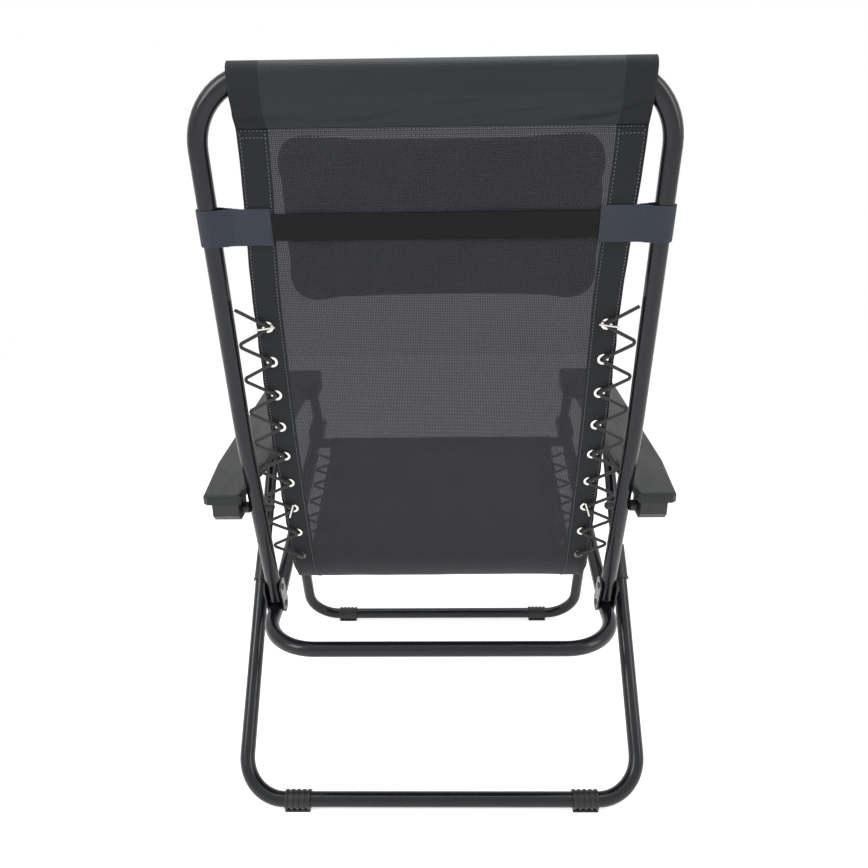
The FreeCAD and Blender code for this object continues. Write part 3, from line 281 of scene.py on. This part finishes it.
def elastic_band():
    """Ribbed elastic webbing that runs across the chair."""
    paint = Paint("elastic_webbing", 0.72, Specular_IOR_Level=0.25)
    ribs = paint.wave(210.0, "Z", 0.3)
    threads = paint.noise(600.0, 2.0, stretch=(0.3, 1.0, 1.0))
    paint.colour(paint.mix(paint.maths("MULTIPLY", ribs, threads), tone(10, 10, 11),
                           tone(26, 26, 28)))
    paint.bump(ribs, 0.4, 0.0006)
    return paint.material


LOOKS = {
    "tube_paint": tube_paint(),
    "arm_plastic": arm_plastic(),
    "black_plastic": black_plastic(),
    "black_steel": black_steel("bracket_paint", tone(26, 27, 29), 0.33),
    "rivet_steel": black_steel("rivet_paint", tone(34, 35, 38), 0.26),
    "nickel": nickel(),
    "cord_sheath": cord_sheath(),
    "black_elastic": elastic_band(),
    "tab_fabric": woven("tab_webbing", tone(38, 42, 50), tone(72, 77, 90), 170.0, 0.75, 0.15),
    "pillow_fabric": woven("pillow_cloth", tone(26, 30, 40), tone(54, 60, 74), 240.0, 0.8, 0.2),
    "mesh_fabric": woven("sling_mesh", tone(31, 32, 36), tone(62, 63, 70), 150.0, 0.7, 0.16,
                         clear=(0.10, 0.42)),
}
STRIP = woven("sling_border", tone(10, 11, 13), tone(32, 34, 38), 150.0, 0.65, 0.03)
DOUBLE = woven("sling_sleeve", tone(14, 17, 20), tone(44, 49, 54), 150.0, 0.46, 0.05)
THREAD = woven("sewing_thread", tone(84, 87, 95), tone(128, 132, 142), 900.0, 0.6, 0.2)


def dress_cad():
    """Give every CAD node its slot's material."""
    for entry in frame["record"]["subparts"]:
        node = NODES[entry["node"]]
        look = LOOKS[entry["material_slot"]]
        if not node.material_slots:
            node.data.materials.append(look)
        for place in node.material_slots:
            place.material = look


dress_cad()


# ---------------------------------------------------------------- mesh helpers
def mesh_object(name, points, faces, looks, which=None, smooth=True):
    data = bpy.data.meshes.new(name)
    data.from_pydata([tuple(point) for point in points], [], faces)
    for look in looks:
        data.materials.append(look)
    for index, face in enumerate(data.polygons):
        face.use_smooth = smooth
        if which is not None:
            face.material_index = which[index]
    shell = bmesh.new()
    shell.from_mesh(data)
    bmesh.ops.recalc_face_normals(shell, faces=shell.faces)
    shell.to_mesh(data)
    shell.free()
    data.update()
    thing = bpy.data.objects.new(name, data)
    bpy.context.scene.collection.objects.link(thing)
    return thing


def slab(name, columns, rows, place, thick, looks, choose):
    """A closed thin sheet over a grid: place(u, v) gives a point and its normal."""
    points, faces, which = [], [], []
    for side in (-1, 1):
        for j in range(rows + 1):
            for i in range(columns + 1):
                point, normal, extra = place(i / columns, j / rows)
                points.append(point + normal * (side * (thick / 2 + extra)))
    wide = columns + 1
    other = wide * (rows + 1)
    for j in range(rows):
        for i in range(columns):
            a = j * wide + i
            kind = choose((i + 0.5) / columns, (j + 0.5) / rows)
            faces.append((a, a + wide, a + wide + 1, a + 1))
            faces.append((other + a, other + a + 1, other + a + wide + 1, other + a + wide))
            which += [kind, kind]
    rim = ([j * wide for j in range(rows + 1)]
           + [rows * wide + i for i in range(1, columns + 1)]
           + [j * wide + columns for j in range(rows - 1, -1, -1)]
           + [i for i in range(columns - 1, 0, -1)])
    for a, b in zip(rim, rim[1:] + rim[:1]):
        faces.append((a, other + a, other + b, b))
        which.append(choose(0.0, 0.5))
    return mesh_object(name, points, faces, looks, which)


# ---------------------------------------------------------------- the sling's route
def centre(node):
    low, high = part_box(node)
    return (low + high) / 2


def joint_at(name):
    return Vector(next(j for j in frame["joints"] if j["name"] == name)["pos_m"])


TUBE_R = 0.011
SLEEVE_R = 0.0126
BACK_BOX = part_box("back_frame")
TOP_BAR = Vector((0, BACK_BOX[1].y - TUBE_R, BACK_BOX[1].z - TUBE_R))
KINK = Vector((0, 0.227, 0.560))
FRONT_BAR = centre("seat_front_bar")
SEAT_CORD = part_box("seat_loop_cord_left")
LOW_SLOPE = (joint_at("back_rock") - joint_at("seat_pivot")).normalized()
RAIL_SLOPE = Vector((0, SEAT_CORD[0].y - SEAT_CORD[1].y, SEAT_CORD[1].z - SEAT_CORD[0].z))
HALF_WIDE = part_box("back_sling")[1].x
BACK_R, FOLD_R = 0.5, 0.11
SLEEVE_DROP, SLEEVE_SIDE, WRAP_DROP = 0.053, 0.020, 0.034
BORDER = 0.034
SKEW = 0.008
CLOTH = 0.0012
EYE_PITCH = 0.0465
WRAP_R = 0.0106
PILLOW_HIGH = 0.186


def crossing(a, a_way, b, b_way):
    """Where two lines in the side view meet."""
    cross = a_way.y * b_way.z - a_way.z * b_way.y
    gap = b - a
    return a + a_way * ((gap.y * b_way.z - gap.z * b_way.y) / cross)


FOLD = crossing(KINK, LOW_SLOPE, FRONT_BAR, RAIL_SLOPE)


def rounded(corners, radii, step=0.006):
    """Points along straight runs joined by tangent arcs."""
    line = [corners[0]]
    for before, corner, after, radius in zip(corners, corners[1:], corners[2:], radii):
        back, onward = (before - corner).normalized(), (after - corner).normalized()
        half = back.angle(onward) / 2
        middle = corner + (back + onward).normalized() * (radius / math.sin(half))
        first = corner + back * (radius / math.tan(half))
        turn = math.pi - 2 * half
        count = max(3, math.ceil(turn * radius / step))
        axis = (first - middle).cross(corner - middle).normalized()
        arm = first - middle
        for k in range(count + 1):
            line.append(middle + Matrix.Rotation(turn * k / count, 3, axis) @ arm)
    line.append(corners[-1])
    return line


class Route:
    """A polyline in the side view that answers with places at a share of its length."""

    def __init__(self, line):
        self.line = line
        self.marks = [0.0]
        for a, b in zip(line, line[1:]):
            self.marks.append(self.marks[-1] + (b - a).length)
        self.length = self.marks[-1]

    def at(self, distance):
        distance = min(max(distance, 0.0), self.length - 1e-6)
        for a, b, mark, end in zip(self.line, self.line[1:], self.marks, self.marks[1:]):
            if distance <= end:
                way = (b - a).normalized()
                return a + way * (distance - mark), way, Vector((1, 0, 0)).cross(way)
        raise ValueError("the distance lies off the route")


TOP_SEAM = TOP_BAR + (KINK - TOP_BAR).normalized() * SLEEVE_DROP
FRONT_SEAM = FRONT_BAR - (FRONT_BAR - FOLD).normalized() * WRAP_DROP
SLING = Route(rounded([TOP_SEAM, KINK, FOLD, FRONT_SEAM], [BACK_R, FOLD_R]))


def cloth_push(x, distance):
    """Small waves in the stretched cloth: pulls from each eyelet and slack across."""
    edge = abs(x) / HALF_WIDE
    pulls = math.sin(distance * 2 * math.pi / EYE_PITCH) * max(0.0, edge - 0.80) * 0.0032
    slack = noise.noise(Vector((x * 5.0, distance * 9.0, 3.1))) * 0.0016
    fine = noise.noise(Vector((x * 22.0 + distance * 14.0, distance * 6.0, 7.7))) * 0.0006
    return (pulls + slack + fine) * min(1.0, distance * 12, (SLING.length - distance) * 12)


def skew(distance):
    """The cloth's top sits a little towards the sitter's right; the lacing is centred."""
    share = min(1.0, max(0.0, distance / 0.22))
    return -SKEW * (1 - share * share * (3 - 2 * share))


def sling_place(u, v):
    x = (2 * u - 1) * HALF_WIDE
    distance = v * SLING.length
    place, _, normal = SLING.at(distance)
    laced = min(1.0, max(0.0, (distance - 0.19) / 0.04))
    edge_in = 0.0012 * laced * math.cos(distance * math.pi / EYE_PITCH) ** 2
    shift = Vector((x - math.copysign(edge_in, x) * max(0.0, (abs(x) / HALF_WIDE - 0.9) * 10)
                    + skew(distance), 0, 0))
    strip = 0.00035 if abs(x) > HALF_WIDE - BORDER else 0.0
    return place + shift + normal * cloth_push(x, distance), normal, strip


def sling_kind(u, v):
    return 1 if abs(2 * u - 1) * HALF_WIDE > HALF_WIDE - BORDER else 0


def add_sling():
    columns, rows = 104, 170
    sling = slab("sling_cloth", columns, rows, sling_place, CLOTH,
                 [LOOKS["mesh_fabric"], STRIP], sling_kind)
    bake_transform(sling)
    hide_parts("back_sling", "seat_sling")
    return sling


def drop_outline(radius, depth, side, count=22):
    """A sewn loop's outline: an arch over the bar, sides, then in to the seam."""
    start = 0 if side else math.asin(radius / depth)
    arch = []
    for k in range(count + 1):
        angle = -start + (math.pi + 2 * start) * k / count
        arch.append((radius * math.cos(angle), radius * math.sin(angle)))
    wide, low = arch[0][0], arch[0][1] - side
    down = [(0.0006 + (wide - 0.0006) * k / 12, -depth + (depth + low) * k / 12)
            for k in range(12)]
    if side:
        down += [(wide, low + side * k / 5) for k in range(5)]
    return down + arch + [(-x, y) for x, y in reversed(down)]


def add_loop(name, bar, seam, radius, side_long, body, wave, shift=0.0):
    """The cloth that goes round a bar and is sewn to itself at the seam."""
    onward = bar - seam
    depth = onward.length
    up = onward.normalized()
    out = Vector((1, 0, 0)).cross(-up)
    outline = drop_outline(radius, depth, side_long)
    round_it = sum(math.dist(a, b) for a, b in zip(outline, outline[1:]))

    def place(u, v):
        x = (2 * u - 1) * HALF_WIDE - shift
        spot = v * (len(outline) - 1)
        k = min(int(spot), len(outline) - 2)
        part = spot - k
        a, b = outline[k], outline[k + 1]
        side = a[0] + (b[0] - a[0]) * part
        high = a[1] + (b[1] - a[1]) * part
        point = bar + out * side + up * high + Vector((x, 0, 0))
        along = Vector((b[0] - a[0], b[1] - a[1], 0)).normalized()
        normal = out * along.y - up * along.x
        free = min(1.0, max(0.0, (-high - radius * 0.2) / depth * 2.2))
        free *= min(1.0, (high + depth) / depth * 4)
        return point + normal * wave(x, high, side) * free, normal, 0.0

    columns = 120
    piece = slab(name, columns, len(outline) * 2, place, CLOTH, [DOUBLE, STRIP], sling_kind)
    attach(piece, body)
    return piece, round_it


def sleeve_wave(x, high, side):
    slant = x * 0.55 + high * math.copysign(1.0, x)
    streak = noise.noise(Vector((slant * 12.0, high * 60.0 + x * 9.0, 5.0)))
    broad = noise.noise(Vector((x * 7.0, high * 20.0, 1.0 if side > 0 else 9.0)))
    return 0.0056 * max(0.0, streak) + 0.0026 * broad + 0.0012


def wrap_wave(x, high, side):
    return 0.0006 * noise.noise(Vector((x * 30.0, high * 60.0, 2.0)))


def stitches(name, points, body, radius=0.00055, share=0.62):
    """A row of short stitches, each a small six-sided thread between two points."""
    verts, faces = [], []
    for (a, normal), (b, _) in zip(points, points[1:]):
        way = b - a
        side = way.cross(normal).normalized()
        start, end = a + way * (1 - share) / 2, b - way * (1 - share) / 2
        base = len(verts)
        for place, size in ((start, 0.35), (start.lerp(end, 0.25), 1.0),
                            (start.lerp(end, 0.75), 1.0), (end, 0.35)):
            for k in range(6):
                angle = k * math.pi / 3
                verts.append(place + (side * math.cos(angle)
                                      + normal * math.sin(angle)) * radius * size)
        for ring in range(3):
            for k in range(6):
                n = (k + 1) % 6
                p = base + ring * 6
                faces.append((p + k, p + n, p + 6 + n, p + 6 + k))
        faces.append(tuple(base + k for k in range(5, -1, -1)))
        faces.append(tuple(base + 18 + k for k in range(6)))
    row = mesh_object(name, verts, faces, [THREAD])
    if body is not None:
        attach(row, body)
    return row


def on_cloth(x, distance, lift):
    """A place above the sling's rear face, and the cloth's normal there."""
    place, _, normal = SLING.at(distance)
    return (place + Vector((x + skew(distance), 0, 0))
            + normal * (cloth_push(x, distance) + lift), normal)


def row_along(x, start, end, lift, pitch=0.0042):
    """Stitch places down the cloth at one x."""
    count = int((end - start) / pitch)
    return [on_cloth(x, start + (end - start) * k / count, lift) for k in range(count + 1)]


def row_across(distance, lift, pitch=0.0042, inset=0.004):
    """Stitch places from side to side at one distance."""
    wide = 2 * (HALF_WIDE - inset)
    count = int(wide / pitch)
    return [on_cloth(-HALF_WIDE + inset + wide * k / count, distance, lift)
            for k in range(count + 1)]


def add_cloth():
    sling = add_sling()
    sleeve, sleeve_round = add_loop("sling_sleeve", TOP_BAR, TOP_SEAM, SLEEVE_R, SLEEVE_SIDE,
                                    "back", sleeve_wave, SKEW)
    wrap, wrap_round = add_loop("sling_front_wrap", FRONT_BAR, FRONT_SEAM, WRAP_R, 0.0,
                                "seat", wrap_wave)
    for word, side in (("left", 1), ("right", -1)):
        for name, inset in (("outer", 0.0035), ("inner", BORDER - 0.003)):
            x = side * (HALF_WIDE - inset)
            row = stitches(f"stitch_{name}_{word}",
                           row_along(x, 0.004, SLING.length - 0.004, 0.00105), None)
            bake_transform(row)
    for name, distance in (("upper", 0.002), ("lower", 0.009)):
        stitches(f"stitch_seam_{name}", row_across(distance, 0.00125), "back")


add_cloth()


# ---------------------------------------------------------------- headrest
def copied(node, name, look):
    data = NODES[node].data.copy()
    thing = bpy.data.objects.new(name, data)
    bpy.context.scene.collection.objects.link(thing)
    data.materials.clear()
    data.materials.append(look)
    return thing


def apply_all(thing):
    """Bake the modifiers into the mesh."""
    graph = bpy.context.evaluated_depsgraph_get()
    data = bpy.data.meshes.new_from_object(thing.evaluated_get(graph))
    thing.modifiers.clear()
    thing.data = data
    for face in data.polygons:
        face.use_smooth = True


def remeshed(thing, size):
    thing.modifiers.new("remesh", "REMESH").voxel_size = size
    apply_all(thing)


def add_pillow():
    pillow = copied("pillow", "headrest_pillow", LOOKS["pillow_fabric"])
    remeshed(pillow, 0.0055)
    rest = [vertex.co.copy() for vertex in pillow.data.vertices]
    cloth = pillow.modifiers.new("cloth", "CLOTH")
    cloth.settings.use_pressure = True
    cloth.settings.uniform_pressure_force = 4.0
    cloth.settings.effector_weights.gravity = 0.0
    cloth.settings.quality = 6
    cloth.point_cache.frame_start = 1
    cloth.point_cache.frame_end = 16
    for number in range(1, 17):
        bpy.context.scene.frame_set(number)
    apply_all(pillow)
    bpy.context.scene.frame_set(1)
    limit = 0.004
    rear = Vector((1, 0, 0)).cross(KINK - TOP_BAR).normalized()
    for vertex, start in zip(pillow.data.vertices, rest):
        move = vertex.co - start
        move -= rear * max(0.0, move.dot(rear))
        vertex.co = start + move
        if move.length > limit:
            vertex.co = start + move.normalized() * limit
    low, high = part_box("pillow")
    middle = (low + high) / 2
    up = (TOP_BAR - KINK).normalized()
    half_wide, half_high = (high.x - low.x) / 2, PILLOW_HIGH / 2
    for vertex in pillow.data.vertices:
        co = vertex.co
        near = min(co.x - low.x, high.x - co.x) / 0.06
        fold = noise.noise(Vector((co.x * 26.0, co.z * 13.0, 4.0)))
        vertex.co += (middle - co).normalized() * 0.0016 * fold * max(0.2, 1 - near)
        across, rise = (co.x - middle.x) / half_wide, (co - middle).dot(up) / half_high
        corner = max(0.0, abs(across) - 0.7) * max(0.0, abs(rise) - 0.5)
        vertex.co.x += math.copysign(corner * 0.12, across) - SKEW
        vertex.co += up * (math.copysign(corner * 0.10, rise) - 0.010)
    pillow.data.materials.clear()
    pillow.data.materials.append(LOOKS["pillow_fabric"])
    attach(pillow, "back")
    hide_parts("pillow")
    return pillow


def add_band(node, name, look, voxel, ripple):
    """A sewn band with slightly uneven edges, made from its CAD solid."""
    band = copied(node, name, look)
    remeshed(band, voxel)
    smooth = band.modifiers.new("smooth", "SMOOTH")
    smooth.iterations = 2
    smooth.factor = 0.5
    apply_all(band)
    for vertex in band.data.vertices:
        co = vertex.co
        wave = noise.noise(co * 28.0)
        fine = noise.noise(co * 120.0)
        vertex.co += Vector((0, 1, -0.28)) * (wave * ripple + fine * ripple * 0.3)
    band.data.materials.clear()
    band.data.materials.append(look)
    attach(band, "back")
    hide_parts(node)
    return band


add_pillow()
strap = add_band("pillow_strap", "headrest_strap", LOOKS["black_elastic"], 0.0011, 0.0004)
for word in ("left", "right"):
    tab = add_band(f"strap_tab_{word}", f"headrest_tab_{word}", LOOKS["tab_fabric"],
                   0.0011, 0.0003)


# ---------------------------------------------------------------- floor and light
def seen_rays(tree):
    """One for the rays that see the background: from the camera, glossy or transmitted."""
    ray = tree.nodes.new("ShaderNodeLightPath")
    either = ray.outputs["Is Camera Ray"]
    for label in ("Is Glossy Ray", "Is Transmission Ray"):
        larger = tree.nodes.new("ShaderNodeMath")
        larger.operation = "MAXIMUM"
        tree.links.new(either, larger.inputs[0])
        tree.links.new(ray.outputs[label], larger.inputs[1])
        either = larger.outputs["Value"]
    return either


def add_floor():
    size = 5.0
    points = [(-size, -size, 0), (size, -size, 0), (size, size, 0), (-size, size, 0)]
    floor = mesh_object("floor", points, [(0, 1, 2, 3)], [], smooth=False)
    paint = Paint("floor_paint", 0.9)
    paint.colour(paint.mix(paint.noise(2.0), (0.96, 0.96, 0.96), (0.98, 0.98, 0.98)))
    glow = paint.add("ShaderNodeEmission")
    glow.inputs["Color"].default_value = (1, 1, 1, 1)
    paint.link(paint.maths("MULTIPLY", seen_rays(paint.tree), 0.72), glow.inputs["Strength"])
    both = paint.add("ShaderNodeAddShader")
    paint.link(paint.shader.outputs["BSDF"], both.inputs[0])
    paint.link(glow.outputs["Emission"], both.inputs[1])
    paint.link(both.outputs["Shader"], paint.tree.nodes["Material Output"].inputs["Surface"])
    floor.data.materials.append(paint.material)
    return floor


def add_light(name, place, aim, width, height, watts):
    light = bpy.data.lights.new(name, "AREA")
    light.shape = "RECTANGLE"
    light.size, light.size_y = width, height
    light.energy = watts
    thing = bpy.data.objects.new(name, light)
    bpy.context.scene.collection.objects.link(thing)
    way = Vector(aim) - Vector(place)
    turn = way.to_track_quat("-Z", "Y").to_matrix().to_4x4()
    thing.matrix_world = Matrix.Translation(place) @ turn
    return thing


def add_world():
    world = bpy.data.worlds.new("studio")
    bpy.context.scene.world = world
    world.use_nodes = True
    tree = world.node_tree
    tree.nodes.clear()
    soft = tree.nodes.new("ShaderNodeBackground")
    soft.inputs["Color"].default_value = (1, 1, 1, 1)
    soft.inputs["Strength"].default_value = 0.36
    white = tree.nodes.new("ShaderNodeBackground")
    white.inputs["Color"].default_value = (1, 1, 1, 1)
    white.inputs["Strength"].default_value = 1.0
    mixer = tree.nodes.new("ShaderNodeMixShader")
    out = tree.nodes.new("ShaderNodeOutputWorld")
    tree.links.new(seen_rays(tree), mixer.inputs["Fac"])
    tree.links.new(soft.outputs["Background"], mixer.inputs[1])
    tree.links.new(white.outputs["Background"], mixer.inputs[2])
    tree.links.new(mixer.outputs["Shader"], out.inputs["Surface"])


add_world()
add_floor()
add_light("key_left", (1.9, 1.7, 1.9), (0, 0, 0.5), 0.8, 1.4, 26)
add_light("fill_right", (-2.1, 1.2, 1.5), (0, 0, 0.5), 0.7, 1.6, 14)
add_light("top", (0, 0.2, 2.8), (0, 0, 0.4), 1.6, 1.6, 20)
